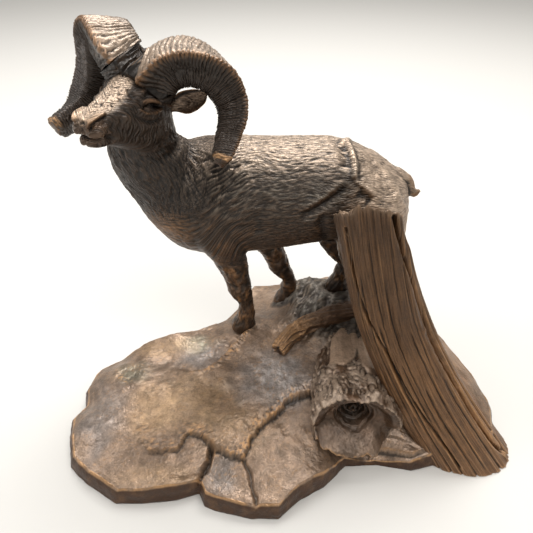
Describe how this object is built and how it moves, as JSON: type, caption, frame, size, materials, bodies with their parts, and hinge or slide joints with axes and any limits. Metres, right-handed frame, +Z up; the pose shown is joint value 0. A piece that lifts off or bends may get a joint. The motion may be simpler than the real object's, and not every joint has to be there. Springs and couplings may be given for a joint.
{
  "type": "ram figurine",
  "caption": "Cast bronze figurine of a bighorn ram standing on a rock beside a leaning weathered tree trunk and a fallen stump.",
  "frame": {"origin": "centre of the footprint's bounding box, on the flat underside", "axes": "+Z up, +X along the base towards the ram's tail and the trunk's foot, +Y towards the back of the base; the ram faces -X with its head turned towards -Y"},
  "size_m": [0.288, 0.1969, 0.2407],
  "materials": {
    "bronze": "satin brown patina, rubbed golden on raised edges"
  },
  "bodies": {
    "root": {"ram_figurine": "bronze"}
  },
  "joints": []
}
